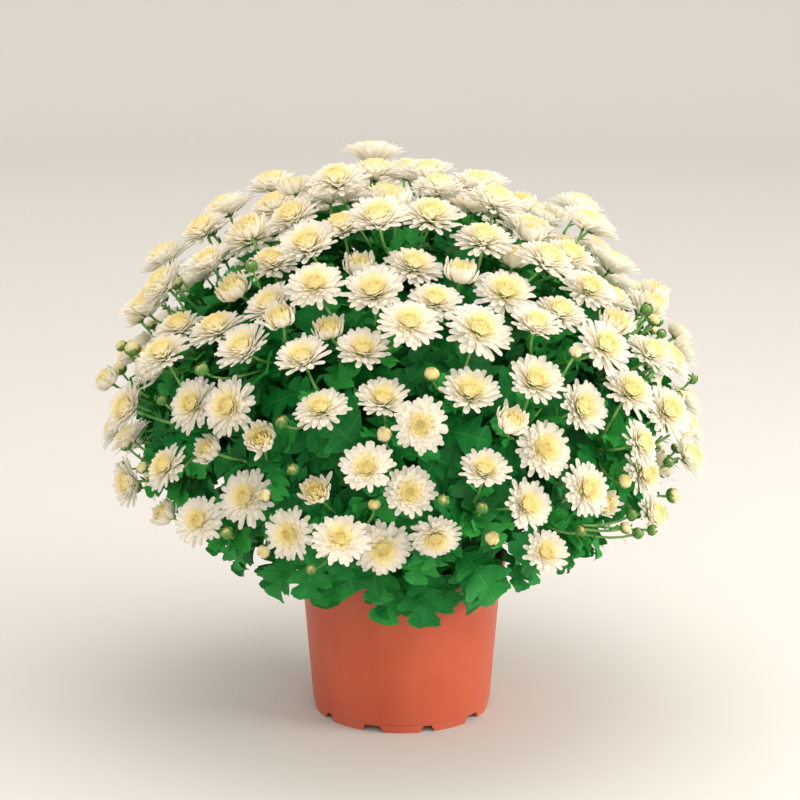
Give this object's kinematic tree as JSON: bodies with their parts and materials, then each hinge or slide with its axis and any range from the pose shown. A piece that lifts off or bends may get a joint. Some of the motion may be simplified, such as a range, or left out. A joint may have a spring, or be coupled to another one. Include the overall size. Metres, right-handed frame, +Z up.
{
  "type": "potted chrysanthemum",
  "caption": "Domed flowering chrysanthemum with cream double blooms, buds and lobed green leaves, in a plain tapered nursery pot with a notched foot.",
  "frame": {"origin": "middle of the pot's foot ring, on the surface it stands on", "axes": "+Z up along the pot's axis, -Y towards the side that the picture shows, +X to that side's right"},
  "size_m": [0.5679, 0.571, 0.5296],
  "materials": {
    "terracotta_plastic": "satin moulded polypropylene, terracotta coloured",
    "potting_soil": "moist peat",
    "leaf_green": "soft matt leaves",
    "cream_petals": "soft matt petals"
  },
  "bodies": {
    "root": {"pot": "terracotta_plastic", "potting_soil": "potting_soil", "leafy_stems": "leaf_green", "flower_spray_01": "cream_petals", "flower_spray_02": "cream_petals", "flower_spray_03": "cream_petals", "flower_spray_04": "cream_petals", "flower_spray_05": "cream_petals", "flower_spray_06": "cream_petals", "flower_spray_07": "cream_petals", "flower_spray_08": "cream_petals", "flower_spray_09": "cream_petals", "flower_spray_10": "cream_petals", "flower_spray_11": "cream_petals", "flower_spray_12": "cream_petals", "flower_spray_13": "cream_petals", "flower_spray_14": "cream_petals", "flower_spray_15": "cream_petals", "flower_spray_16": "cream_petals", "flower_spray_17": "cream_petals", "flower_spray_18": "cream_petals", "flower_spray_19": "cream_petals", "flower_spray_20": "cream_petals", "flower_spray_21": "cream_petals", "flower_spray_22": "cream_petals", "flower_spray_23": "cream_petals", "flower_spray_24": "cream_petals", "flower_spray_25": "cream_petals", "flower_spray_26": "cream_petals", "flower_spray_27": "cream_petals", "flower_spray_28": "cream_petals", "flower_spray_29": "cream_petals", "flower_spray_30": "cream_petals", "flower_spray_31": "cream_petals", "flower_spray_32": "cream_petals", "flower_spray_33": "cream_petals", "flower_spray_34": "cream_petals", "flower_spray_35": "cream_petals", "flower_spray_36": "cream_petals", "flower_spray_37": "cream_petals", "flower_spray_38": "cream_petals", "flower_spray_39": "cream_petals", "flower_spray_40": "cream_petals", "flower_spray_41": "cream_petals", "flower_spray_42": "cream_petals", "flower_spray_43": "cream_petals", "flower_spray_44": "cream_petals", "flower_spray_45": "cream_petals", "flower_spray_46": "cream_petals", "flower_spray_47": "cream_petals", "flower_spray_48": "cream_petals", "flower_spray_49": "cream_petals", "flower_spray_50": "cream_petals", "flower_spray_51": "cream_petals", "flower_spray_52": "cream_petals", "flower_spray_53": "cream_petals", "flower_spray_54": "cream_petals", "flower_spray_55": "cream_petals", "flower_spray_56": "cream_petals", "flower_spray_57": "cream_petals"}
  },
  "joints": []
}
